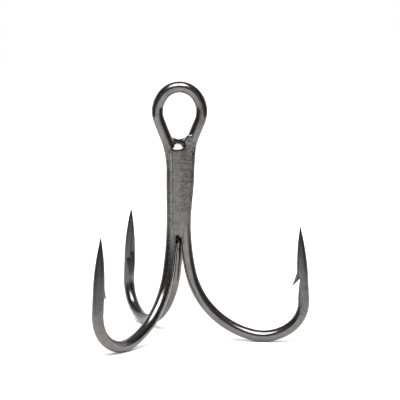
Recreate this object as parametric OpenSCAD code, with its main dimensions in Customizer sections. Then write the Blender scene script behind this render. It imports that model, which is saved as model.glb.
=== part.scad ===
// Treble fish hook: a double hook bent from one wire, whose middle is the ring eye,
// and a single hook laid in the groove behind its two legs and brazed there.
// Millimetres. Origin at the centre of the eye, +X along the eye's plane,
// +Y through the eye towards the single hook, +Z from the bends to the eye.

/* [Wire] */
// Diameter of the hook wire
wire_d = 1.72; // [1.6:0.02:1.8]

/* [Eye] */
// Radii of the two arcs of each side of the ring, from its top down
eye_radii = [3.05, 3.84];
// Angle of the top arc, in degrees
eye_top_angle = 45; // [40:1:50]
// How far each side of the ring leans in towards the shank, in degrees
eye_close = 22; // [21:1:25]
// Radius of the bend that turns each side of the ring into its leg
throat_r = 13; // [11:0.5:13.5]

/* [Shank] */
// From the centre of the eye down to the start of the bends
shank_l = 16.3; // [15:0.1:20]
// Clear gap between the two legs of the double hook
leg_gap = 0.24; // [0.2:0.02:0.5]
// From the centre of the eye down to the cut end of the single hook's wire
single_end = 6.2; // [5.8:0.1:8]

/* [Bend] */
// Radii of the four arcs of one bend, from the shank round to the point
bend_radii = [35, 12.4, 6.9, 4.9];
// Angles of the four arcs, in degrees
bend_angles = [12.5, 64.5, 50.5, 56];
// Direction of the double hook's right-hand bend, from the plane of the eye, in degrees
right_turn = -5.5; // [-30:0.5:0]
// Direction of its left-hand bend
left_turn = 234.5; // [210:0.5:240]
// Direction of the single hook's bend
rear_turn = 116.5; // [90:0.5:120]

/* [Point] */
// Straight length from the end of the bend to the tip
point_l = 11; // [10:0.1:12]
// Length of the ground taper
taper_l = 7.8; // [6:0.1:9]
// Radius left at the very tip
tip_r = 0.04; // [0.02:0.01:0.08]

/* [Barb] */
// From the tip back to where the sliver leaves the wire
barb_root = 6.7; // [6.3:0.1:7]
// From the tip back to the sliver's free end
barb_end = 9.0; // [8.6:0.1:9.4]
// How far the free end stands off the wire
barb_lift = 0.8; // [0.4:0.05:1]
// Width of the sliver at its root
barb_w = 1.2; // [0.8:0.05:1.4]
// Width of the sliver at its free end
barb_tip_w = 0.25; // [0.1:0.05:0.5]
// From the tip back to the deepest corner of the cut
cut_corner = 7.75; // [7.5:0.05:8.2]
// Depth of the cut at that corner
cut_depth = 0.45; // [0.3:0.05:0.55]
// From the tip back to where the cut runs out
cut_end = 10.7; // [10:0.1:10.9]

/* [Brazing] */
// From the centre of the eye down to the filler's top edge in the throat
braze_top = 3.75; // [3.6:0.05:4.5]
// Depth of the scoop that the filler's top edge makes
braze_scoop = 0.5; // [0.2:0.05:0.7]
// From the centre of the eye down to the end of the front seam
seam_end = 17.4; // [17:0.1:18.5]
// From the centre of the eye down to the end of the two rear fillets
fillet_end = 18.6; // [17:0.1:19.5]
// How far the flat face of the front seam lies forward of the legs' centres
seam_face = 0.72; // [0.5:0.02:0.78]

/* [Hidden] */
$fn = 96;

wire_r = wire_d / 2;
eye_side = 90 - eye_top_angle + eye_close;                  // angle of the ring's lower arc
eye_top = eye_radii[0] * (1 - cos(eye_top_angle)) + eye_radii[1] * cos(eye_top_angle);
eye_half = eye_radii[0] * sin(eye_top_angle) + eye_radii[1] * (1 - sin(eye_top_angle));
eye_end = [eye_half - eye_radii[1] * (1 - cos(eye_close)), -eye_radii[1] * sin(eye_close)];
leg_x = (wire_d + leg_gap) / 2;         // centre line of each leg
sit_clearance = 0.01;                   // keeps the nested wires from sharing a line
single_y = sqrt(pow(wire_d + sit_clearance, 2) - pow(leg_x, 2));
side_l = (eye_end[0] - throat_r * (1 - cos(eye_close)) - leg_x) / sin(eye_close);
legs_start = -eye_end[1] + side_l * cos(eye_close) + throat_r * sin(eye_close);
weld_t = 0.003;                         // thickness and width of the sleeve over a joint
weld_w = 0.08;
ogive_steps = 10;

// Radius of the ground taper at a distance from the tip
function taper_r(s) = tip_r + (wire_r - tip_r) * (1 - pow(1 - min(s / taper_l, 1), 2));

// A hair-thin sleeve over the joint of two lengths, so that they weld into one solid
module weld() {
    translate([0, 0, -weld_w / 2]) cylinder(h = weld_w, r = wire_r + weld_t);
}

// Each length of wire starts at the origin and runs along -Z; an arc curls towards +X.
// Its children are welded on and carry on from its end.
module straight(l) {
    translate([0, 0, -l]) cylinder(h = l, r = wire_r);
    translate([0, 0, -l]) { weld(); children(); }
}

module arc(r, a) {
    translate([r, 0, 0]) rotate([-90, 0, 180])
        rotate_extrude(angle = a) translate([r, 0]) circle(r = wire_r);
    translate([r * (1 - cos(a)), 0, -r * sin(a)]) rotate([0, -a, 0]) { weld(); children(); }
}

// The ground point: a revolved ogive on a straight, with the barb cut into its inner side
module barbed_point() {
    translate([0, 0, -point_l]) {
        difference() {
            union() {
                translate([0, 0, taper_l]) cylinder(h = point_l - taper_l, r = wire_r);
                rotate_extrude() polygon(concat([[0, 0]],
                    [for (i = [0:ogive_steps]) let (s = taper_l * i / ogive_steps) [taper_r(s), s]],
                    [[0, taper_l]]));
            }
            barb_cut();
        }
        barb_sliver();
    }
}

// The wedge that the chisel opens behind the sliver
module barb_cut() {
    run_out = 0.3;                      // the wedge carried on past the wire's surface
    slope = cut_depth / (cut_end - cut_corner);
    rotate([90, 0, 0]) linear_extrude(height = 2 * wire_d, center = true) polygon([
        [wire_r - cut_depth, cut_corner],
        [wire_r + run_out, cut_corner],
        [wire_r + run_out, cut_end + run_out / slope],
        [wire_r, cut_end]]);
}

// The sliver: the wire's own round skin, raised about its root, cut off below
// and narrowing to its free end
module barb_sliver() {
    root = [taper_r(barb_root), barb_root];
    tip = [wire_r + barb_lift, barb_end];
    rise = atan((tip[0] - root[0]) / (tip[1] - root[1]));
    intersection() {
        rotate([90, 0, 0]) linear_extrude(height = 2 * wire_d, center = true) polygon([
            [wire_r - cut_depth, barb_root], root, tip, [wire_r - cut_depth, cut_corner]]);
        translate([root[0], 0, root[1]]) rotate([0, rise, 0])
            translate([-wire_r, 0, -wire_d]) cylinder(h = 3 * wire_d, r = wire_r);
        rotate([90, 0, 90]) linear_extrude(height = wire_d) polygon([
            [-barb_w / 2, barb_root], [barb_w / 2, barb_root],
            [barb_tip_w / 2, barb_end], [-barb_tip_w / 2, barb_end]]);
    }
}

// One bend and its point, starting at the origin and bending towards +X
module hook_bend() {
    arc(bend_radii[0], bend_angles[0]) arc(bend_radii[1], bend_angles[1])
        arc(bend_radii[2], bend_angles[2]) arc(bend_radii[3], bend_angles[3])
            barbed_point();
}

// Right-hand half of the ring, from its top down
module half_ring() {
    translate([0, 0, eye_top]) rotate([0, -90, 0]) rotate([0, 0, 180]) {
        weld();
        arc(eye_radii[0], eye_top_angle) arc(eye_radii[1], eye_side);
    }
}

// The right-hand leg, from the end of the ring down to the start of the bend
module leg() {
    translate([eye_end[0], 0, eye_end[1]]) rotate([0, eye_close, 0]) {
        weld();
        straight(side_l) arc(throat_r, eye_close) straight(shank_l - legs_start) children();
    }
}

module both_sides() {
    children();
    mirror([1, 0, 0]) children();
}

module double_hook_wire() {
    color([0.40, 0.39, 0.39]) {
        both_sides() half_ring();
        leg() rotate([0, 0, right_turn]) hook_bend();
        mirror([1, 0, 0]) leg() rotate([0, 0, 180 - left_turn]) hook_bend();
    }
}

// The single hook's wire from its cut end down to the start of its bend
module single_leg() {
    translate([0, single_y, -single_end]) straight(shank_l - single_end) children();
}

module single_hook_wire() {
    color([0.36, 0.35, 0.35]) single_leg() rotate([0, 0, rear_turn]) hook_bend();
}

// Everything of the wires that the filler wets
module wetted_wires() {
    leg() rotate([0, 0, right_turn]) arc(bend_radii[0], bend_angles[0]);
    mirror([1, 0, 0]) leg() rotate([0, 0, 180 - left_turn]) arc(bend_radii[0], bend_angles[0]);
    single_leg() rotate([0, 0, rear_turn]) arc(bend_radii[0], bend_angles[0]);
}

// Centre line of the right leg seen from the front, from the throat down to the straight part
function leg_line(top) = [for (z = [top:0.5:legs_start]) [leg_line_x(z), -z]];
function leg_line_x(z) =
    let (below = legs_start - z)
    below < throat_r * sin(eye_close)
        ? leg_x + throat_r - sqrt(pow(throat_r, 2) - pow(below, 2))
        : leg_x + throat_r * (1 - cos(eye_close)) + (below - throat_r * sin(eye_close)) * tan(eye_close);

// Filler between the two legs: flat in front, scooped in the throat, wedge-ended below
module front_braze_seam() {
    back = single_y - wire_r + 0.04;    // just past the front line of the single wire
    side = leg_line(braze_top);
    color([0.45, 0.44, 0.43]) difference() {
        translate([0, back, 0]) rotate([90, 0, 0]) linear_extrude(height = seam_face + back)
            difference() {
                polygon(concat(side, [[leg_x, -seam_end + 0.6], [0, -seam_end],
                    [-leg_x, -seam_end + 0.6]],
                    [for (i = [len(side) - 1:-1:0]) [-side[i][0], side[i][1]]]));
                translate([0, -braze_top + scoop_r() - braze_scoop]) circle(r = scoop_r());
            }
        wetted_wires();
    }
}

// Radius of the scoop, from its depth and the width of the throat there
function scoop_r() =
    let (half = leg_line_x(braze_top) - wire_r / cos(eye_close))
    (pow(half, 2) + pow(braze_scoop, 2)) / (2 * braze_scoop);

// Filler in the groove between the single wire and one leg
module rear_fillet() {
    top = single_end + 0.5;
    inner = [leg_x / 2, single_y / 2];
    color([0.43, 0.42, 0.41]) difference() {
        translate([0, 0, -fillet_end]) linear_extrude(height = fillet_end - top) polygon([
            inner, [leg_x + 0.62 * wire_r, 0.62 * wire_r], [0.78 * wire_r, single_y + 0.45 * wire_r]]);
        wetted_wires();
    }
}

module rear_right_braze_fillet() { rear_fillet(); }
module rear_left_braze_fillet() { mirror([1, 0, 0]) rear_fillet(); }

double_hook_wire();
single_hook_wire();
front_braze_seam();
rear_left_braze_fillet();
rear_right_braze_fillet();
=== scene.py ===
# %% [markdown]
# # Treble fish hook
# Two wires and some brazing alloy make the whole hook. One wire is bent into a ring eye with a
# barbed hook on each end, and a shorter wire with a third hook lies in the groove behind them.
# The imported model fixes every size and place. The pieces made here take the place of its plain
# solids: they have a finer surface, a real barb, and filler that has run and set like metal.

import math

import bmesh
import bpy
from mathutils import Matrix, Quaternion, Vector, noise


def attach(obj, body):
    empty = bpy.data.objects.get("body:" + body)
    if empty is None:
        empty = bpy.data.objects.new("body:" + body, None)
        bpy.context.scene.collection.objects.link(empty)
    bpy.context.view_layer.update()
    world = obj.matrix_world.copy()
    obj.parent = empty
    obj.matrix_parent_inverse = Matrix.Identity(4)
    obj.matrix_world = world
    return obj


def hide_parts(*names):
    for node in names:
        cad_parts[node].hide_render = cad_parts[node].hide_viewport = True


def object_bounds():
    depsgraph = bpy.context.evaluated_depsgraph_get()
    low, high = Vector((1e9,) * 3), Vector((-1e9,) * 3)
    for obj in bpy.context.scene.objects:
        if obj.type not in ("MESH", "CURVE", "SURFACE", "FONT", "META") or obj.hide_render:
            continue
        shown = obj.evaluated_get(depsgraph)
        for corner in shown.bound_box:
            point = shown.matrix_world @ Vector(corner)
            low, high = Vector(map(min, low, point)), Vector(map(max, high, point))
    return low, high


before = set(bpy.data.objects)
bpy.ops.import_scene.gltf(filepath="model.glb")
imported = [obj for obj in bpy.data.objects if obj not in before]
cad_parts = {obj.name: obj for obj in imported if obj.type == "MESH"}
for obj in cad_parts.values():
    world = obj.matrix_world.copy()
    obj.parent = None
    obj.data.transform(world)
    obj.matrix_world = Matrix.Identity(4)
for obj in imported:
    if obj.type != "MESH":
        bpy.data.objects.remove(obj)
cad_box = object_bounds()
mm = 0.001
print("nodes:", sorted(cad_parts))
print("size in mm:", [round(c / mm, 2) for c in cad_box[1] - cad_box[0]])

# %% [markdown]
# ## Camera
# The hook stands on its three bends, is seen from a little above, and shows its eye from straight in
# front. A long lens keeps its proportions true, as it does for any small product.

# %% Camera
view_elevation = math.radians(7.618)
view_roll = math.radians(0.517)
camera_distance = 310.165 * mm
camera_lens = 187.68
look_at = Vector((3.14, 0, -13.19)) * mm

towards_camera = Vector((0, -math.cos(view_elevation), math.sin(view_elevation)))
camera = bpy.data.objects.new("camera", bpy.data.cameras.new("camera"))
bpy.context.scene.collection.objects.link(camera)
camera.data.sensor_width = 36
camera.data.lens = camera_lens
camera.data.clip_start = 0.01
camera.data.clip_end = 100
camera.location = look_at + towards_camera * camera_distance
camera.rotation_mode = "QUATERNION"
level = (-towards_camera).to_track_quat("-Z", "Y")
camera.rotation_quaternion = level @ Quaternion((0, 0, 1), view_roll)
bpy.context.scene.camera = camera
print("camera at", [round(c / mm, 1) for c in camera.location])

# %% [markdown]
# ## Light
# Polished metal shows what stands round it, so the studio is drawn as surroundings and not as
# lamps: a soft box above the camera, a white sweep behind, and a dim room at both sides. Each is a
# mask on the direction of a ray. Paper would show the same drawing as hard shadows, so the rays
# that light the paper get an even tent of light, and rays straight from the camera see plain white.

# %% Helpers for shader nodes
def add_node(tree, kind, **settings):
    """A new shader node, with some of its own properties set."""
    made = tree.nodes.new(kind)
    for name, value in settings.items():
        setattr(made, name, value)
    return made


def maths(tree, operation, a, b=None, clamp=False):
    """A Math node on two values, each a socket or a number. Returns its output."""
    made = tree.nodes.new("ShaderNodeMath")
    made.operation = operation
    made.use_clamp = clamp
    for socket, value in zip(made.inputs, (a, b)):
        if isinstance(value, bpy.types.NodeSocket):
            tree.links.new(value, socket)
        elif value is not None:
            socket.default_value = value
    return made.outputs["Value"]


def ramp(tree, value, low, high, to_low=0.0, to_high=1.0):
    """A smooth step of a value from low to high. Returns its output."""
    made = tree.nodes.new("ShaderNodeMapRange")
    made.interpolation_type = "SMOOTHSTEP"
    tree.links.new(value, made.inputs["Value"])
    names = ("From Min", "From Max", "To Min", "To Max")
    for name, number in zip(names, (low, high, to_low, to_high)):
        if isinstance(number, bpy.types.NodeSocket):
            tree.links.new(number, made.inputs[name])
        else:
            made.inputs[name].default_value = number
    return made.outputs["Result"]


# %% The studio round the hook
softbox_light = 10.5
sweep_light = 1.04
room_light = 0.26
side_light = 0.12
tent_light = 1.2
softbox_height = math.radians(61)
softbox_turn = math.radians(7)
softbox_angles = (math.radians(26), math.radians(18))
front_horizon = math.sin(math.radians(1.5))
back_horizon = math.sin(math.radians(42))
horizon_edges = (-0.4, 0.9)
edge_softness = 0.05
side_edges = (0.5, 0.8)
back_edges = (0.05, 0.45)

world = bpy.data.worlds.new("studio")
bpy.context.scene.world = world
world.use_nodes = True
tree = world.node_tree
tree.nodes.clear()
direction = add_node(tree, "ShaderNodeTexCoord").outputs["Generated"]
split = add_node(tree, "ShaderNodeSeparateXYZ")
tree.links.new(direction, split.inputs[0])
horizon = ramp(tree, split.outputs["Y"], *horizon_edges, front_horizon, back_horizon)
sweep = ramp(tree, split.outputs["Z"], maths(tree, "ADD", horizon, edge_softness),
             maths(tree, "SUBTRACT", horizon, edge_softness))
sideways = ramp(tree, maths(tree, "ABSOLUTE", split.outputs["X"]), *side_edges)
sideways = maths(tree, "MULTIPLY", sideways, ramp(tree, split.outputs["Y"], *back_edges[::-1]))
room = maths(tree, "ADD", maths(tree, "MULTIPLY", sideways, side_light - room_light), room_light)
lit = maths(tree, "MULTIPLY", sweep, maths(tree, "SUBTRACT", 1.0, sideways))
surroundings = maths(tree, "ADD", maths(tree, "MULTIPLY", lit, sweep_light), room)
towards_box = add_node(tree, "ShaderNodeVectorMath", operation="DOT_PRODUCT")
tree.links.new(direction, towards_box.inputs[0])
towards_box.inputs[1].default_value = (
    -math.sin(softbox_turn) * math.cos(softbox_height),
    -math.cos(softbox_turn) * math.cos(softbox_height),
    math.sin(softbox_height),
)
softbox = ramp(tree, towards_box.outputs["Value"], *(math.cos(a) for a in softbox_angles),
               0.0, softbox_light)
path = add_node(tree, "ShaderNodeLightPath")
drawn = add_node(tree, "ShaderNodeMix")
tree.links.new(path.outputs["Is Diffuse Ray"], drawn.inputs["Factor"])
tree.links.new(maths(tree, "ADD", surroundings, softbox), drawn.inputs["A"])
drawn.inputs["B"].default_value = tent_light
seen = add_node(tree, "ShaderNodeMix")
tree.links.new(path.outputs["Is Camera Ray"], seen.inputs["Factor"])
tree.links.new(drawn.outputs["Result"], seen.inputs["A"])
seen.inputs["B"].default_value = 1.0
background = add_node(tree, "ShaderNodeBackground")
background.inputs["Color"].default_value = (1, 1, 1, 1)
tree.links.new(seen.outputs["Result"], background.inputs["Strength"])
output = add_node(tree, "ShaderNodeOutputWorld")
tree.links.new(background.outputs[0], output.inputs["Surface"])
bpy.context.scene.view_settings.view_transform = "Standard"
print("studio: soft box", round(math.degrees(softbox_height)), "degrees up, in front")

# %% [markdown]
# ## Floor
# A small sheet of white paper, just under the lowest bend. It isn't endless, because the sides of
# the polished wire then meet dim room beyond its edges, and go dark as they do on a real table.

# %% Floor
floor_half_width = 0.12
floor_front = -0.36
floor_back = 0.6
floor_gap = 0.01 * mm
paper_white = 0.9
floor_mesh = bpy.data.meshes.new("floor")
bm = bmesh.new()
bmesh.ops.create_grid(bm, x_segments=1, y_segments=1, size=0.5)
bmesh.ops.scale(bm, verts=bm.verts, vec=(2 * floor_half_width, floor_back - floor_front, 1))
bmesh.ops.translate(bm, verts=bm.verts,
                    vec=(0, (floor_back + floor_front) / 2, cad_box[0].z - floor_gap))
bm.to_mesh(floor_mesh)
bm.free()
floor = bpy.data.objects.new("floor", floor_mesh)
bpy.context.scene.collection.objects.link(floor)
paper = bpy.data.materials.new("white_paper")
paper.use_nodes = True
paper_shader = paper.node_tree.nodes["Principled BSDF"]
paper_shader.inputs["Base Color"].default_value = (paper_white, paper_white, paper_white, 1)
paper_shader.inputs["Roughness"].default_value = 1.0
paper_shader.inputs["Specular IOR Level"].default_value = 0.0
floor_mesh.materials.append(paper)
print("floor at z =", round(floor.data.vertices[0].co.z / mm, 2), "mm")

# %% [markdown]
# ## The wire
# Real hooks are bent from drawn wire, so the mesh is drawn the same way: a circle of vertices is
# extruded along straights and spun round each bend. The alternative, a curve with a round bevel,
# is quicker, but it gives no hold on the ground point. Every vertex also keeps its place in the
# straightened wire, so that grain and drawing lines can follow the bends.
# The pieces are made in millimetres and scaled to metres when they are done.

# %% Sizes of the wire, in millimetres
wire_d = 1.72
wire_r = wire_d / 2
eye_radii = (3.05, 3.84)
eye_top_angle = 45
eye_close = 22
throat_r = 13
shank_l = 16.3
leg_gap = 0.24
leg_x = (wire_d + leg_gap) / 2
sit_clearance = 0.01
single_y = math.sqrt((wire_d + sit_clearance) ** 2 - leg_x ** 2)
single_end = 6.2
bends = [(35, 12.5), (12.4, 64.5), (6.9, 50.5), (4.9, 56)]
right_turn, left_turn, rear_turn = -5.5, 234.5, 116.5
point_l = 11
taper_l = 7.8
tip_r = 0.04

top_angle = math.radians(eye_top_angle)
close = math.radians(eye_close)
eye_top = eye_radii[0] * (1 - math.cos(top_angle)) + eye_radii[1] * math.cos(top_angle)
eye_half = eye_radii[0] * math.sin(top_angle) + eye_radii[1] * (1 - math.sin(top_angle))
eye_end_x = eye_half - eye_radii[1] * (1 - math.cos(close))
eye_end_z = -eye_radii[1] * math.sin(close)
side_l = (eye_end_x - throat_r * (1 - math.cos(close)) - leg_x) / math.sin(close)
legs_start = side_l * math.cos(close) + throat_r * math.sin(close) - eye_end_z
print("legs start", round(legs_start, 2), "mm below the middle of the eye")

# %% Drawing out a wire
wire_sides = 48
bend_step = 3.0
straight_step = 0.6


class DrawnWire:
    """A round wire that grows from a ring of vertices. It curls towards its inward side.
    A sense of -1 measures it backwards, for the half that runs the other way from the start."""

    def __init__(self, at, heading, inward, radius=wire_r, run=0.0, sense=1, bm=None):
        self.bm = bm or bmesh.new()
        layers = self.bm.verts.layers.float_vector
        self.along = layers.get("along_wire") or layers.new("along_wire")
        self.at, self.heading, self.inward = Vector(at), Vector(heading), Vector(inward)
        self.upright = self.inward.copy()
        self.run, self.radius, self.sense = run, radius, sense
        side = self.heading.cross(self.inward)
        place = Matrix((self.inward, side, self.heading)).transposed().to_4x4()
        place.translation = self.at
        ring = bmesh.ops.create_circle(self.bm, cap_ends=False, segments=wire_sides,
                                       radius=radius, matrix=place)["verts"]
        self.first = self.rim = list({e for v in ring for e in v.link_edges})
        self.mark()

    def mark(self):
        """Notes where each vertex of the last ring lies in the straightened wire."""
        side = self.heading.cross(self.upright) * self.sense
        for v in {v for e in self.rim for v in e.verts}:
            out = v.co - self.at
            v[self.along] = (out.dot(self.upright), out.dot(side), self.run * self.sense)

    def straight(self, length, step=straight_step):
        count = max(1, round(length / step))
        for _ in range(count):
            self.push(length / count)
        return self

    def push(self, length, radius=None):
        """One ring further on, and wider or narrower if a radius is given."""
        made = bmesh.ops.extrude_edge_only(self.bm, edges=self.rim)["geom"]
        self.rim = [e for e in made if isinstance(e, bmesh.types.BMEdge)]
        ring = [v for v in made if isinstance(v, bmesh.types.BMVert)]
        bmesh.ops.translate(self.bm, verts=ring, vec=self.heading * length)
        self.at = self.at + self.heading * length
        self.run += length
        if radius:
            factor = radius / self.radius
            bmesh.ops.scale(self.bm, verts=ring, vec=(factor,) * 3,
                            space=Matrix.Translation(-self.at))
            self.radius = radius
        self.mark()

    def curl(self, radius, degrees):
        axis = self.heading.cross(self.inward)
        centre = self.at + self.inward * radius
        length = math.radians(degrees) * radius
        count = max(2, math.ceil(degrees / bend_step), math.ceil(length / straight_step))
        step = math.radians(degrees) / count
        turn = Matrix.Rotation(step, 3, axis)
        for _ in range(count):
            made = bmesh.ops.spin(self.bm, geom=self.rim, cent=centre, axis=axis, angle=step,
                                  steps=1, use_duplicate=False)["geom_last"]
            self.rim = [e for e in made if isinstance(e, bmesh.types.BMEdge)]
            self.at = centre + turn @ (self.at - centre)
            self.heading, self.inward = turn @ self.heading, turn @ self.inward
            self.upright = turn @ self.upright
            self.run += step * radius
            self.mark()
        return self

    def face(self, inward):
        """Chooses the side that the next bend curls towards."""
        self.inward = Vector(inward).normalized()
        return self

    def close(self, edges):
        bmesh.ops.edgeloop_fill(self.bm, edges=edges)


# %% [markdown]
# ## The hooks
# Each hook is four arcs of falling radius and a straight, whose end is ground to an ogive: a taper
# that swells quickly behind the tip, so that it is sharp and still strong. The wire's rings simply
# shrink along it. Cutting a cone off a finished wire would leave a crease where the cone starts.

# %% The ground point
ogive_steps = 26
point_step = 0.3
tip_rings = ((0.03, 0.03), (0.012, 0.012))


def ground_radius(from_tip):
    """Radius of the wire where the ground taper has left it, at a distance from the tip."""
    return tip_r + (wire_r - tip_r) * (1 - (1 - min(from_tip / taper_l, 1)) ** 2)


def direction_of(turn):
    """The level direction at an angle from the plane of the eye, in degrees."""
    return Vector((math.cos(math.radians(turn)), math.sin(math.radians(turn)), 0))


def hook_bend(wire, turn):
    """Bends the hook in its direction, carries on to the point and grinds it."""
    wire.face(direction_of(turn))
    for radius, degrees in bends:
        wire.curl(radius, degrees)
    wire.straight(point_l - taper_l, point_step)
    for i in range(ogive_steps):
        left = taper_l * (1 - (i + 1) / ogive_steps)
        wire.push(taper_l / ogive_steps, ground_radius(left))
    tip = {"tip": wire.at.copy(), "back": -wire.heading, "inward": wire.inward.copy(),
           "upright": wire.upright.copy(), "run": wire.run, "sense": wire.sense}
    for length, radius in tip_rings:
        wire.push(length, radius)
    wire.close(wire.rim)
    return tip


# %% [markdown]
# ## The two wires
# The double wire starts at the top of the ring and is drawn down to both sides, so the two halves
# share their first ring of vertices and weld without a seam. The single wire starts at its cut end.

# %% The double wire, drawn from the top of the ring to both sides
weld_distance = 0.001


def draw_half(sense, turn, bm=None):
    """Half of the ring, a leg and its hook: to the right, or to the left if the sense is -1."""
    wire = DrawnWire(at=(0, 0, eye_top), heading=(sense, 0, 0), inward=(0, 0, -1),
                     sense=sense, bm=bm)
    wire.curl(eye_radii[0], eye_top_angle)
    wire.curl(eye_radii[1], 90 - eye_top_angle + eye_close)
    wire.straight(side_l)
    wire.face(-wire.inward)
    wire.curl(throat_r, eye_close)
    wire.straight(shank_l - legs_start)
    return wire, hook_bend(wire, turn)


double, right_point = draw_half(1, right_turn)
_, left_point = draw_half(-1, left_turn, bm=double.bm)
bmesh.ops.remove_doubles(double.bm, verts=double.bm.verts, dist=weld_distance)
bmesh.ops.recalc_face_normals(double.bm, faces=double.bm.faces)
for point in (right_point, left_point):
    print("tip of the double hook at", [round(c, 2) for c in point["tip"]])

# %% The single wire, with a burred and rounded cut end
cut_face_r = 0.62
cut_rings = ((0.06, 0.78), (0.12, 0.84), (0.2, wire_r))
grain_start = 300
single = DrawnWire(at=(0, single_y, -single_end), heading=(0, 0, -1), inward=(0, 1, 0),
                   radius=cut_face_r, run=grain_start)
single.close(single.first)
for length, radius in cut_rings:
    single.push(length, radius)
single.straight(shank_l - single_end - sum(length for length, _ in cut_rings))
single_point = hook_bend(single, rear_turn)
bmesh.ops.recalc_face_normals(single.bm, faces=single.bm.faces)
print("faces:", len(double.bm.faces), "and", len(single.bm.faces))

# %% [markdown]
# ## From a mesh to a piece
# A finished piece is in metres, shaded smooth with only its real edges sharp, and tied to the body,
# and the solids that it stands for are hidden. Cuts and joins are modifiers whose result is kept at
# once.

# %% From a bmesh to a finished piece
sharp_angle = math.radians(35)


def make_object(name, bm):
    """An object of this bmesh, still in millimetres."""
    mesh = bpy.data.meshes.new(name)
    bm.to_mesh(mesh)
    bm.free()
    piece = bpy.data.objects.new(name, mesh)
    bpy.context.scene.collection.objects.link(piece)
    return piece


def finish_piece(piece, material, slot, *nodes):
    """Scales a piece to metres, shades it and puts it in place of its CAD nodes."""
    mesh = piece.data
    mesh.transform(Matrix.Scale(mm, 4))
    bm = bmesh.new()
    bm.from_mesh(mesh)
    for face in bm.faces:
        face.smooth = True
    for edge in bm.edges:
        edge.smooth = edge.calc_face_angle(0) < sharp_angle
    bm.to_mesh(mesh)
    bm.free()
    mesh.materials.clear()
    mesh.materials.append(material)
    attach(piece, "root")
    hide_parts(*nodes)
    print(piece.name, "has", len(mesh.polygons), "faces")


def use_tool(piece, tool, operation):
    """Cuts a tool out of a piece, or joins it on, and throws the tool away."""
    change = piece.modifiers.new(operation.lower(), "BOOLEAN")
    change.object = tool
    change.operation = operation
    change.solver = "EXACT"
    bake_modifiers(piece)
    bpy.data.objects.remove(tool)


def bake_modifiers(piece):
    """Makes what the modifiers show the piece's own mesh."""
    depsgraph = bpy.context.evaluated_depsgraph_get()
    shown = bpy.data.meshes.new_from_object(piece.evaluated_get(depsgraph), depsgraph=depsgraph)
    piece.modifiers.clear()
    old = piece.data
    piece.data = shown
    bpy.data.meshes.remove(old)


# %% [markdown]
# ## Barbs
# A barb is struck with a chisel: it lifts a sliver of the wire's own skin and leaves a wedge
# behind it. So the mesh gets both strokes too, a wedge cut away and a curled sliver joined on.
# Sizes run back from the tip, and outwards from the middle of the wire.

# %% The chisel's wedge and the sliver that it lifts
barb_root = 6.7
barb_end = 9.0
barb_lift = 0.86
barb_w = 1.25
barb_tip_w = 0.3
barb_curl = 1.15
cut_corner = 7.75
cut_depth = 0.45
cut_end = 10.7
cut_floor = wire_r - cut_depth
barb_cuts = 9
root_dip = 0.01
skin_narrower = 0.25
skin_rounding = 1.2
mark_reach = 0.2


def chisel_wedge():
    """The wedge, as an outline in the hook's plane that is extruded across it."""
    over = 0.3
    slope = cut_depth / (cut_end - cut_corner)
    outline = [(cut_floor, cut_corner), (wire_r + over, cut_corner),
               (wire_r + over, cut_end + over / slope)]
    bm = bmesh.new()
    face = bm.faces.new([bm.verts.new((x, -wire_d, z)) for x, z in outline])
    made = bmesh.ops.extrude_face_region(bm, geom=[face])["geom"]
    bmesh.ops.translate(bm, verts=[v for v in made if isinstance(v, bmesh.types.BMVert)],
                        vec=(0, 2 * wire_d, 0))
    bmesh.ops.recalc_face_normals(bm, faces=bm.faces)
    return bm


def lifted_sliver():
    """A cube bent into the sliver: root to free end, side to side, and inside to outer skin."""
    bm = bmesh.new()
    bmesh.ops.create_cube(bm, size=1)
    bmesh.ops.subdivide_edges(bm, edges=bm.edges, cuts=barb_cuts, use_grid_fill=True)
    root_x = ground_radius(barb_root) - root_dip
    free_x = wire_r + barb_lift
    for v in bm.verts:
        along, across, out = v.co.x + 0.5, v.co.y * 2, v.co.z + 0.5
        skin_x = root_x + (free_x - root_x) * along ** barb_curl
        skin_z = barb_root + (barb_end - barb_root) * along
        inner_z = barb_root + (cut_corner - barb_root) * along
        narrowing = (1 - skin_narrower) + skin_narrower * (1 - out)
        width = (barb_w + (barb_tip_w - barb_w) * along) * narrowing
        y = across * width / 2
        rounding = wire_r - math.sqrt(wire_r ** 2 - y ** 2)
        v.co = (cut_floor + (skin_x - rounding * skin_rounding - cut_floor) * out, y,
                inner_z + (skin_z - inner_z) * out)
    bmesh.ops.recalc_face_normals(bm, faces=bm.faces)
    return bm


def strike_barb(piece, point):
    """Cuts the wedge and joins the sliver at one point, then marks the new skin's place."""
    across = point["back"].cross(point["inward"])
    place = Matrix((point["inward"], across, point["back"])).transposed().to_4x4()
    place.translation = point["tip"]
    for build, operation in ((chisel_wedge, "DIFFERENCE"), (lifted_sliver, "UNION")):
        bm = build()
        bmesh.ops.transform(bm, matrix=place, verts=bm.verts)
        use_tool(piece, make_object("chisel", bm), operation)
    side = (-point["back"]).cross(point["upright"]) * point["sense"]
    marks = piece.data.attributes["along_wire"].data
    for vertex, mark in zip(piece.data.vertices, marks):
        out = vertex.co - point["tip"]
        back = out.dot(point["back"])
        off_axis = (out - point["back"] * back).length
        if 0 <= back < point_l and off_axis < wire_r + barb_lift + mark_reach:
            run = (point["run"] - back) * point["sense"]
            mark.vector = (out.dot(point["upright"]), out.dot(side), run)


double_wire = make_object("double_wire", double.bm)
strike_barb(double_wire, right_point)
strike_barb(double_wire, left_point)
single_wire = make_object("single_wire", single.bm)
strike_barb(single_wire, single_point)
for piece in (double_wire, single_wire):
    print("barbs struck:", piece.name, "has", len(piece.data.polygons), "faces")

# %% [markdown]
# ## Brazing
# Molten filler creeps into every groove between the wires and leaves a soft, slightly sunk skin.
# Modelling that skin by hand would take many fillets that never quite meet. Instead rough blanks
# are laid in the joint, melted into one body by a voxel remesh, and smoothed: the smoothing does
# what surface tension did. Then the skin gets the pits that the flux left.

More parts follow.
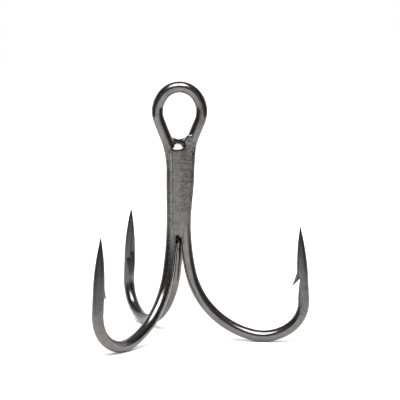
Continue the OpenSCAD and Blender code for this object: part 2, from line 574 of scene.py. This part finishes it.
# %% Blanks: a sleeve over each wire, sunk into the wire at both its ends
skin = 0.012
sunk = -0.05
run_in = 0.7
sleeve_top = 2.0
sleeve_bottom = 3.6
dome_starts = 0.35
dome_top_r = 0.45
dome_rings = ((0.15, 0.7), (0.3, wire_r + 0.03), (0.5, wire_r + skin))
dome_l = 0.6


def dive(wire, radius):
    """Carries a sleeve on by a short stretch, to a new radius."""
    wire.push(run_in, radius)
    return wire


def finish_sleeve(sleeve, turn):
    """Carries a sleeve round the first of its hook's bend, then sinks it into the wire."""
    sleeve.face(direction_of(turn))
    sleeve.curl(bends[0][0], math.degrees(sleeve_bottom / bends[0][0]))
    dive(sleeve, wire_r + sunk)
    sleeve.close(sleeve.rim)
    return sleeve.bm


def leg_sleeve(sense, turn):
    """A sleeve over one leg, from the throat to just past the start of the bend."""
    start = Vector((sense * eye_end_x, 0, eye_end_z))
    down = Vector((-sense * math.sin(close), 0, -math.cos(close)))
    outwards = (sense * math.cos(close), 0, -math.sin(close))
    sleeve = DrawnWire(start + down * sleeve_top, down, outwards, radius=wire_r + sunk)
    sleeve.close(sleeve.first)
    dive(sleeve, wire_r + skin)
    sleeve.straight(side_l - sleeve_top - run_in)
    sleeve.curl(throat_r, eye_close)
    sleeve.straight(shank_l - legs_start)
    return finish_sleeve(sleeve, turn)


def single_sleeve():
    """A sleeve over the single wire, domed where the filler has run over its cut end."""
    sleeve = DrawnWire((0, single_y, -single_end + dome_starts), (0, 0, -1), (0, 1, 0),
                       radius=dome_top_r)
    sleeve.close(sleeve.first)
    for length, radius in dome_rings:
        sleeve.push(length, radius)
    sleeve.straight(shank_l - single_end - dome_l)
    return finish_sleeve(sleeve, rear_turn)


# %% Blanks: the web between the legs and the two fillets behind
web_face = 0.875
web_back = 0.84
web_left = 0.17
web_right = 0.1
web_top = -3.4
web_end = -19.6
web_sinks = -17.0
web_sunk = 0.9
web_cuts = 23
web_joins = 1.5
notch_corners = ((-0.34, -17.9), (-0.3, -21.0), (0.95, -21.0))
bead_r = 0.2
bead_at = (0.05, 0.62, -20.75)
fillet_leg = 0.62
fillet_rear = (0.8, 0.42)
fillet_sections = ((-20.2, 0.5), (-18.4, 0.9), (-16.5, 1.0), (-7.6, 1.0), (-6.3, 0.75))


def leg_line(z):
    """How far the middle of a leg lies from the middle of the hook at a height."""
    above = legs_start + z
    arc_l = throat_r * math.sin(close)
    if above < arc_l:
        return leg_x + throat_r - math.sqrt(throat_r ** 2 - max(above, 0) ** 2)
    return leg_x + throat_r * (1 - math.cos(close)) + (above - arc_l) * math.tan(close)


def web_blank():
    """A grid-cut block between the legs, flat in front, that sinks away where the legs part."""
    bm = bmesh.new()
    bmesh.ops.create_cube(bm, size=1)
    bmesh.ops.subdivide_edges(bm, edges=bm.edges, cuts=web_cuts, use_grid_fill=True)
    for v in bm.verts:
        across, deep, up = v.co.x * 2, v.co.y + 0.5, v.co.z + 0.5
        z = web_end + (web_top - web_end) * up
        spread = min(max((z + legs_start) / web_joins, 0), 1)
        sinking = min(max((web_sinks - z) / (web_sinks - web_end), 0), 1) ** 2
        overlap = (web_right if across > 0 else web_left) * (1 - spread) * (1 - sinking)
        front = -web_face + web_sunk * sinking
        v.co = (across * (leg_line(z) + overlap), front + (web_back - front) * deep, z)
    bmesh.ops.recalc_face_normals(bm, faces=bm.faces)
    return bm


def crotch_notch():
    """The pointed gap at the foot of the web, where the filler has drawn back along both legs."""
    bm = bmesh.new()
    face = bm.faces.new([bm.verts.new((x, -2 * wire_d, z)) for x, z in notch_corners])
    made = bmesh.ops.extrude_face_region(bm, geom=[face])["geom"]
    bmesh.ops.translate(bm, verts=[v for v in made if isinstance(v, bmesh.types.BMVert)],
                        vec=(0, 4 * wire_d, 0))
    bmesh.ops.recalc_face_normals(bm, faces=bm.faces)
    return bm


def crotch_bead():
    """The last drop of filler, which hung on the rear wire below the notch."""
    bm = bmesh.new()
    bmesh.ops.create_uvsphere(bm, u_segments=24, v_segments=16, radius=bead_r,
                              matrix=Matrix.Translation(bead_at))
    return bm


def fillet_blank():
    """Filler in the groove between the single wire and the right leg, tapered at both ends."""
    groove = Vector((leg_x / 2, single_y / 2, 0))
    corners = [groove, Vector((leg_x + fillet_leg * wire_r, fillet_leg * wire_r, 0)),
               Vector((fillet_rear[0] * wire_r, single_y + fillet_rear[1] * wire_r, 0))]
    z, size = fillet_sections[0]
    bm = bmesh.new()
    face = bm.faces.new([bm.verts.new(groove + (corner - groove) * size + Vector((0, 0, z)))
                         for corner in corners])
    for next_z, next_size in fillet_sections[1:]:
        made = bmesh.ops.extrude_face_region(bm, geom=[face])["geom"]
        face = next(part for part in made if isinstance(part, bmesh.types.BMFace))
        bmesh.ops.translate(bm, verts=face.verts, vec=(0, 0, next_z - z))
        bmesh.ops.scale(bm, verts=face.verts, vec=(next_size / size,) * 2 + (1,),
                        space=Matrix.Translation(-groove))
        z, size = next_z, next_size
    bmesh.ops.recalc_face_normals(bm, faces=bm.faces)
    return bm


# %% [markdown]
# ## The throat
# Between the diverging legs the filler ends in a saddle: hollow from leg to leg, and rounded from
# front to back. A rope laid over a pulley has that same shape underneath, so part of a ring is
# used as the cutter. It leans and turns a little, because no real joint is even.

# %% The scoop that surface tension leaves in the throat
scoop_section = 1.57
saddle_r = 3.6
saddle_at = Vector((0, 2.2, -7.42))
scoop_behind = math.radians(-35)
scoop_front = math.radians(95)
scoop_lean = math.radians(22)
scoop_turn = math.radians(8)
scoop_sides = 40
scoop_steps = 48
scoop_splay = 1.0


def throat_scoop():
    """Part of a ring, like a rope over a pulley: the web's top is left as the groove for it."""
    bm = bmesh.new()
    top = Vector((0, 0, saddle_r + scoop_section))
    upright = Matrix.Translation(top) @ Matrix.Rotation(math.radians(90), 4, "X")
    bmesh.ops.create_circle(bm, cap_ends=False, segments=scoop_sides, radius=scoop_section,
                            matrix=upright)
    bmesh.ops.rotate(bm, verts=bm.verts, cent=(0, 0, 0),
                     matrix=Matrix.Rotation(scoop_behind, 3, "X"))
    first = bm.edges[:]
    made = bmesh.ops.spin(bm, geom=first, cent=(0, 0, 0), axis=(1, 0, 0),
                          angle=scoop_front - scoop_behind, steps=scoop_steps,
                          use_duplicate=False)["geom_last"]
    for ring in (first, [e for e in made if isinstance(e, bmesh.types.BMEdge)]):
        bmesh.ops.edgeloop_fill(bm, edges=ring)
    for v in bm.verts:
        down = max(saddle_r - v.co.z, 0)
        v.co.x *= 1 + scoop_splay * down
    lean = Matrix.Translation(top) @ Matrix.Rotation(scoop_lean, 4, "Y") @ Matrix.Translation(-top)
    middle = Vector((0, saddle_at.y, 0))
    turn = Matrix.Rotation(-scoop_turn, 4, "Z")
    turn = Matrix.Translation(-middle) @ turn @ Matrix.Translation(middle)
    bmesh.ops.transform(bm, matrix=Matrix.Translation(saddle_at) @ turn @ lean, verts=bm.verts)
    bmesh.ops.recalc_face_normals(bm, faces=bm.faces)
    return bm


# %% Melting the blanks together
voxel = 0.065
melt_rounds = 26


def add_to(target, source, mirrored=False):
    """Adds a bmesh to another one, and its mirror image if asked."""
    mesh = bpy.data.meshes.new("blank")
    source.to_mesh(mesh)
    target.from_mesh(mesh)
    if mirrored:
        mesh.transform(Matrix.Scale(-1, 4, (1, 0, 0)))
        mesh.flip_normals()
        target.from_mesh(mesh)
    source.free()
    bpy.data.meshes.remove(mesh)


web = make_object("web", web_blank())
use_tool(web, make_object("scoop", throat_scoop()), "DIFFERENCE")
use_tool(web, make_object("notch", crotch_notch()), "DIFFERENCE")
blanks = bmesh.new()
blanks.from_mesh(web.data)
bpy.data.objects.remove(web)
add_to(blanks, leg_sleeve(1, right_turn))
add_to(blanks, leg_sleeve(-1, left_turn))
add_to(blanks, single_sleeve())
add_to(blanks, crotch_bead())
add_to(blanks, fillet_blank(), mirrored=True)
filler = make_object("braze_filler", blanks)
melt = filler.modifiers.new("melt", "REMESH")
melt.mode = "VOXEL"
melt.voxel_size = voxel
bake_modifiers(filler)
print("melted filler:", len(filler.data.polygons), "faces")

# %% Surface tension and flux pits
pit_scale = 2.6
swell_right = 0.46
swell_left = 0.08
seam_x = -leg_x - web_left + 0.02
seam_w = 0.11
seam_sunk = 0.04
pit_depth = 0.028
fine_pits = 2.3
fine_share = 0.6
swell_above = (3.8, 8.0)
swell_below = (-17.0, -9.0)
swell_sides = (0.2, 1.5)


def pitted(co):
    """How strongly the flux has pitted the filler here: most on the right half of the web."""
    on_web = min(max((-co.y - 0.3) / 0.3, 0), 1)
    right = min(max((co.x - 0.05) / 0.4, 0), 1)
    upper = min(max((co.z + 15.5) / 2.5, 0), 1)
    return (0.12 + 0.88 * on_web * right) * upper


def smooth_step(value, low, high):
    """Goes from 0 to 1 as the value goes from low to high."""
    t = min(max((value - low) / (high - low), 0), 1)
    return t * t * (3 - 2 * t)


def swell(co):
    """How far sideways the filler stands off the legs: most below the throat, on the right."""
    at_height = smooth_step(-co.z, *swell_above) * smooth_step(co.z, *swell_below)
    sideways = smooth_step(abs(co.x), *swell_sides)
    return (swell_right if co.x > 0 else -swell_left) * at_height * sideways


def seam_depth(co):
    """The sunk line where the edge of the web meets the left leg."""
    below_throat = min(max((-5.2 - co.z) / 1.0, 0), 1)
    above_bend = min(max((co.z + 19) / 5.0, 0), 1)
    on_front = 1 if co.y < -0.4 else 0
    wander = 0.06 * noise.noise((0, 0, co.z * 0.9))
    uneven = 0.75 + 0.5 * noise.noise((3, 0, co.z * 2.5))
    return seam_sunk * uneven * below_throat * above_bend * on_front * math.exp(
        -((co.x - seam_x - wander) / seam_w) ** 2)


bm = bmesh.new()
bm.from_mesh(filler.data)
for _ in range(melt_rounds):
    bmesh.ops.smooth_vert(bm, verts=bm.verts, factor=0.5,
                          use_axis_x=True, use_axis_y=True, use_axis_z=True)
bm.normal_update()
for v in bm.verts:
    rough = noise.noise(v.co * pit_scale)
    rough += fine_share * noise.noise(v.co * pit_scale * fine_pits)
    v.co -= v.normal * (max(rough, 0) * pit_depth * pitted(v.co) + seam_depth(v.co))
    v.co.x += swell(v.co)
bm.to_mesh(filler.data)
bm.free()
print("filler smoothed in", melt_rounds, "rounds")

# %% [markdown]
# ## Finishes
# The hook is plated black nickel over everything. What tells its parts apart is the surface under
# the plating: drawing lines along the wire, and a duller and pitted skin where the flux has been.
# Those effects are shader groups that both finishes share. The points are also made darker, and
# painted shade darkens the barbs, two bands on the wire, the sides of the throat and the crotch.
# A painted texture could do it too, but a formula in the wire's own millimetres has no seams and no
# limit.

# %% Shader groups
def new_group(name, inputs, output):
    """A shader group with named number inputs, a Place in millimetres and one number output."""
    group = bpy.data.node_groups.new(name, "ShaderNodeTree")
    group.interface.new_socket(name="Place", in_out="INPUT", socket_type="NodeSocketVector")
    for socket, value in inputs.items():
        made = group.interface.new_socket(name=socket, in_out="INPUT",
                                          socket_type="NodeSocketFloat")
        made.default_value = value
    group.interface.new_socket(name=output, in_out="OUTPUT", socket_type="NodeSocketFloat")
    given = add_node(group, "NodeGroupInput").outputs
    result = add_node(group, "NodeGroupOutput").inputs[output]
    return group, given, result


def noise_value(tree, place, scale, detail, roughness=0.5):
    """A noise texture's value at a place. Scale is a number or a socket."""
    made = add_node(tree, "ShaderNodeTexNoise")
    tree.links.new(place, made.inputs["Vector"])
    if isinstance(scale, bpy.types.NodeSocket):
        tree.links.new(scale, made.inputs["Scale"])
    else:
        made.inputs["Scale"].default_value = scale
    made.inputs["Detail"].default_value = detail
    made.inputs["Roughness"].default_value = roughness
    return made.outputs["Fac"]


# Streaks along the last axis of the place, as a die leaves them
drawing_lines, given, result = new_group(
    "drawing_lines", {"Fineness": 5.0, "Stretch": 0.06}, "Lines")
stretched = add_node(drawing_lines, "ShaderNodeCombineXYZ")
for axis, factor in (("X", 1.0), ("Y", 1.0), ("Z", given["Stretch"])):
    if isinstance(factor, bpy.types.NodeSocket):
        drawing_lines.links.new(factor, stretched.inputs[axis])
    else:
        stretched.inputs[axis].default_value = factor
scaled = add_node(drawing_lines, "ShaderNodeVectorMath", operation="MULTIPLY")
drawing_lines.links.new(given["Place"], scaled.inputs[0])
drawing_lines.links.new(stretched.outputs[0], scaled.inputs[1])
streaks = noise_value(drawing_lines, scaled.outputs[0], given["Fineness"], 4.0, 0.6)
drawing_lines.links.new(ramp(drawing_lines, streaks, 0.3, 0.7), result)

# Small round pits, thickly or thinly sown
pits, given, result = new_group("pits", {"Per mm": 4.0, "Amount": 0.3}, "Pits")
cells = add_node(pits, "ShaderNodeTexVoronoi")
pits.links.new(given["Place"], cells.inputs["Vector"])
pits.links.new(given["Per mm"], cells.inputs["Scale"])
chance = add_node(pits, "ShaderNodeSeparateColor")
pits.links.new(cells.outputs["Color"], chance.inputs[0])
sown = maths(pits, "LESS_THAN", chance.outputs[0], given["Amount"])
hole = ramp(pits, cells.outputs["Distance"], 0.42, 0.2)
pits.links.new(maths(pits, "MULTIPLY", hole, sown), result)

# Soft-edged patches of a thicker or thinner finish
mottle, given, result = new_group("mottle", {"Per mm": 1.0, "Low": 0.35, "High": 0.65}, "Patches")
cloud = noise_value(mottle, given["Place"], given["Per mm"], 5.0, 0.6)
mottle.links.new(ramp(mottle, cloud, given["Low"], given["High"]), result)
print("shader groups:", [group.name for group in bpy.data.node_groups])


# %% Helpers for the two finishes
def place_group(tree, group, place, **values):
    """Puts a shared group in a material, at its own values. Returns its output."""
    made = add_node(tree, "ShaderNodeGroup", node_tree=group)
    tree.links.new(place, made.inputs["Place"])
    for name, value in values.items():
        made.inputs[name.replace("_", " ")].default_value = value
    return made.outputs[0]


def mix_colour(tree, mask, colour_a, colour_b):
    """Goes from one colour to another one by a mask. A colour is a socket or three numbers."""
    made = add_node(tree, "ShaderNodeMix", data_type="RGBA")
    tree.links.new(mask, made.inputs["Factor"])
    sockets = [socket for socket in made.inputs if socket.type == "RGBA"]
    for socket, colour in zip(sockets, (colour_a, colour_b)):
        if isinstance(colour, bpy.types.NodeSocket):
            tree.links.new(colour, socket)
        else:
            socket.default_value = (*colour, 1)
    return next(socket for socket in made.outputs if socket.type == "RGBA")


def mix_maths(tree, mask, low, high):
    """A number that goes from low to high by a mask."""
    return maths(tree, "ADD", maths(tree, "MULTIPLY", mask, high - low), low)


def weigh(tree, *pairs):
    """The sum of values, each times its own weight."""
    total = maths(tree, "MULTIPLY", *pairs[0])
    for value, weight in pairs[1:]:
        total = maths(tree, "ADD", total, maths(tree, "MULTIPLY", value, weight))
    return total


def overlap(tree, *masks):
    """Where all of the masks hold at once."""
    result = masks[0]
    for mask in masks[1:]:
        result = maths(tree, "MULTIPLY", result, mask)
    return result


def off_middle(tree, x, y):
    """The distance of a point from a line, from its two sideways coordinates."""
    squares = [maths(tree, "POWER", value, 2.0) for value in (x, y)]
    return maths(tree, "SQRT", weigh(tree, (squares[0], 1.0), (squares[1], 1.0)))


def new_metal(name):
    """A metallic material, the place of a point in millimetres, and its split coordinates."""
    material = bpy.data.materials.new(name)
    material.use_nodes = True
    tree = material.node_tree
    shader = tree.nodes["Principled BSDF"]
    shader.inputs["Metallic"].default_value = 1
    place = add_node(tree, "ShaderNodeVectorMath", operation="SCALE")
    tree.links.new(add_node(tree, "ShaderNodeTexCoord").outputs["Object"], place.inputs[0])
    place.inputs["Scale"].default_value = 1 / mm
    axes = add_node(tree, "ShaderNodeSeparateXYZ")
    tree.links.new(place.outputs[0], axes.inputs[0])
    return material, tree, shader, place.outputs[0], axes.outputs


def bump(tree, shader, height, depth):
    """Turns a height into the shader's normal. Depth is in metres."""
    made = add_node(tree, "ShaderNodeBump")
    tree.links.new(height, made.inputs["Height"])
    made.inputs["Distance"].default_value = depth
    tree.links.new(made.outputs["Normal"], shader.inputs["Normal"])


# %% [markdown]
# ## Black nickel on the wire
# The plating is thin and follows the wire, so the lines of the drawing die show through it. It is
# made darker and rougher out on the points. Painted shade darkens the barbs' chisel cuts and
# slivers, and lies as dark bands on the eye's upper right and on the left leg below the filler,
# where the polished wire reflects the dim room. Each of those is a mask on the wire's own
# millimetres: the pairs below are a mask's two ends.

# %% Black nickel on the bare wire
nickel_dark_and_shade = (0.084, 0.079, 0.076)
nickel_light = (0.156, 0.147, 0.141)
nickel_pit_and_shade = (0.03, 0.028, 0.027)
nickel_roughness = (0.12, 0.2)
points_roughness = 0.08
wire_bump = 0.012 * mm
# Painted shade: boxes for the dark bands painted on the upper right of the eye and on the left leg
# below the filler
eye_band_box = {"X": (1.6, 3.6), "Z": (-4.0, -1.0)}
leg_band_box = {"X": (-1.0, -1.7), "Z": (-18.0, -20.0)}
leg_band_end = (-28.0, -24.0)
# Where the points are made darker and rougher: far out from the shank and up the points
points_out = (6.0, 8.0)
points_up = (-32.5, -28.5)
# Painted shade at the barbs: their heights, then distances from the wire's middle out on the sliver
# and down in the chisel cut
barb_shade_heights = ((-28.0, -27.0), (-23.8, -24.5))
barb_shade_sliver = (0.87, 0.95)
barb_shade_cut = (0.83, 0.72)

black_nickel, tree, shader, place, axes = new_metal("black_nickel")
wire_place = add_node(tree, "ShaderNodeAttribute", attribute_name="along_wire").outputs["Vector"]
lines = place_group(tree, drawing_lines, wire_place, Fineness=4.5, Stretch=0.05)
patches = place_group(tree, mottle, place, Per_mm=0.9, Low=0.38, High=0.66)
specks_and_shade = place_group(tree, pits, place, Per_mm=5.5, Amount=0.16)
worn = place_group(tree, mottle, place, Per_mm=0.55, Low=0.5, High=0.62)
# Painted shade: dark bands on the eye's upper right and on the left leg below the filler
painted_dark_bands = overlap(tree, *(ramp(tree, axes[axis], *ends) for axis, ends in eye_band_box.items()))
painted_leg_band = overlap(tree, *(ramp(tree, axes[axis], *ends) for axis, ends in leg_band_box.items()),
                      ramp(tree, axes["Z"], *leg_band_end))
painted_dark_bands = maths(tree, "MAXIMUM", painted_dark_bands, painted_leg_band)
# Specks are sown in worn patches, and also in the painted dark bands as part of the painted shade
specks_and_shade = overlap(tree, specks_and_shade, maths(tree, "MAXIMUM", worn, painted_dark_bands))
from_shank = off_middle(tree, axes["X"], axes["Y"])
# Darker and rougher far out from the shank and up the points
ground = overlap(tree, ramp(tree, from_shank, *points_out), ramp(tree, axes["Z"], *points_up))
split_place = add_node(tree, "ShaderNodeSeparateXYZ")
tree.links.new(wire_place, split_place.inputs[0])
from_middle = off_middle(tree, split_place.outputs["X"], split_place.outputs["Y"])
# Painted shade darkens each barb's chisel cut and its lifted sliver
struck = maths(tree, "MAXIMUM", ramp(tree, from_middle, *barb_shade_sliver),
               ramp(tree, from_middle, *barb_shade_cut))
struck = overlap(tree, struck, *(ramp(tree, axes["Z"], *ends) for ends in barb_shade_heights))
# The tone mixes real mottle and drawing lines with the darker points and the painted shade of the
# bands and barbs
tone = weigh(tree, (patches, 0.35), (lines, 0.25), (ground, 0.5), (painted_dark_bands, 0.6), (struck, 0.9))
colour = mix_colour(tree, tone, nickel_light, nickel_dark_and_shade)
tree.links.new(mix_colour(tree, specks_and_shade, colour, nickel_pit_and_shade), shader.inputs["Base Color"])
rough = mix_maths(tree, tone, *nickel_roughness)
rough = maths(tree, "ADD", rough, weigh(tree, (specks_and_shade, 0.3), (ground, points_roughness)))
tree.links.new(rough, shader.inputs["Roughness"])
bump(tree, shader, weigh(tree, (lines, 0.45), (specks_and_shade, -1.6)), wire_bump)

# %% [markdown]
# ## The same plating on the filler
# Filler sets duller than wire, and flux boils out of it in small pits. They are thickest on the
# right half of the web, where the flux was trapped longest. Dense dark pits beside the throat are
# painted shade, and painted shade fills the crotch in the pits' colour.

# %% The same plating on the filler, where the flux has pitted it
braze_dark = (0.075, 0.071, 0.068)
braze_light = (0.13, 0.123, 0.118)
braze_pit_and_shade = (0.022, 0.021, 0.02)
braze_roughness = (0.17, 0.3)
braze_bump = 0.03 * mm
pit_share = (0.06, 0.65)
front_y = (-0.2, -0.5)
web_right_x = (-0.1, 0.8)
web_z = ((-15.8, -14.2), (-4.6, -6.0))
seam_out = (0.28, 0.08)
seam_z = (-5.2, -6.2)
# Painted shade beside the throat, drawn as dense dark pits on both sides of it
throat_x = 0.1
throat_out = (0.7, 1.15)
throat_side = (2.0, 1.6)
throat_z = ((-3.7, -4.2), (-7.2, -6.0))
# Painted shade in the crotch between the legs
crotch_z = (-17.6, -18.1)
crotch_y = ((-0.5, -0.15), (1.1, 0.8))
crotch_side = (0.75, 0.5)
flowed_z = (-6.8, -5.8)

plated_braze, tree, shader, place, axes = new_metal("plated_braze")
patches = place_group(tree, mottle, place, Per_mm=1.4, Low=0.35, High=0.65)
grain = place_group(tree, mottle, place, Per_mm=4.5, Low=0.42, High=0.7)
coarse = place_group(tree, pits, place, Per_mm=2.7, Amount=0.42)
fine = place_group(tree, pits, place, Per_mm=5.5, Amount=0.5)
in_front = ramp(tree, axes["Y"], *front_y)
right_zone = overlap(tree, ramp(tree, axes["X"], *web_right_x), in_front,
                     *(ramp(tree, axes["Z"], *ends) for ends in web_z))
from_seam = maths(tree, "ABSOLUTE", maths(tree, "SUBTRACT", axes["X"], seam_x))
broken = maths(tree, "MAXIMUM", weigh(tree, (patches, 0.5), (grain, 0.5)), fine)
seam = overlap(tree, ramp(tree, from_seam, *seam_out), in_front,
               ramp(tree, axes["Z"], *seam_z), broken)
# Real flux pits, and further down the painted shade beside the throat and in the crotch, all go into
# this mask
pits_and_shade = maths(tree, "MAXIMUM", coarse, fine)
either_size = pits_and_shade
pits_and_shade = overlap(tree, pits_and_shade, mix_maths(tree, right_zone, *pit_share))
sideways = maths(tree, "ABSOLUTE", axes["X"])
from_throat = maths(tree, "ABSOLUTE", maths(tree, "SUBTRACT", axes["X"], throat_x))
# Painted shade: dense dark pits on both sides of the throat
painted_throat_shade = overlap(tree, ramp(tree, from_throat, *throat_out),
                        ramp(tree, sideways, *throat_side), in_front,
                        *(ramp(tree, axes["Z"], *ends) for ends in throat_z), either_size)
# Painted shade: the crotch between the legs in the pits' dark colour
painted_crotch_shade = overlap(tree, ramp(tree, axes["Z"], *crotch_z),
                    *(ramp(tree, axes["Y"], *ends) for ends in crotch_y),
                    ramp(tree, sideways, *crotch_side))
for zone in (seam, painted_throat_shade, painted_crotch_shade):
    pits_and_shade = maths(tree, "MAXIMUM", pits_and_shade, zone)
tone = weigh(tree, (patches, 0.5), (grain, 0.25), (right_zone, 0.25))
colour = mix_colour(tree, tone, braze_light, braze_dark)
tree.links.new(mix_colour(tree, pits_and_shade, colour, braze_pit_and_shade), shader.inputs["Base Color"])
flowed = ramp(tree, axes["Z"], *flowed_z)
rough = weigh(tree, (mix_maths(tree, tone, *braze_roughness), 1.0), (pits_and_shade, 0.2), (flowed, -0.08))
tree.links.new(rough, shader.inputs["Roughness"])
bump(tree, shader, weigh(tree, (grain, -0.15), (pits_and_shade, -0.6)), braze_bump)
print("finishes:", black_nickel.name, "and", plated_braze.name)

# %% [markdown]
# ## The finished pieces
# The two wires take the place of their own solids. The filler takes the place of three, because
# it is one run of metal that the wires only divide where they touch.

# %% The finished pieces
finish_piece(double_wire, black_nickel, "hook_wire", "double_hook_wire")
finish_piece(single_wire, black_nickel, "hook_wire", "single_hook_wire")
finish_piece(filler, plated_braze, "braze_filler", "front_braze_seam", "rear_left_braze_fillet",
             "rear_right_braze_fillet")
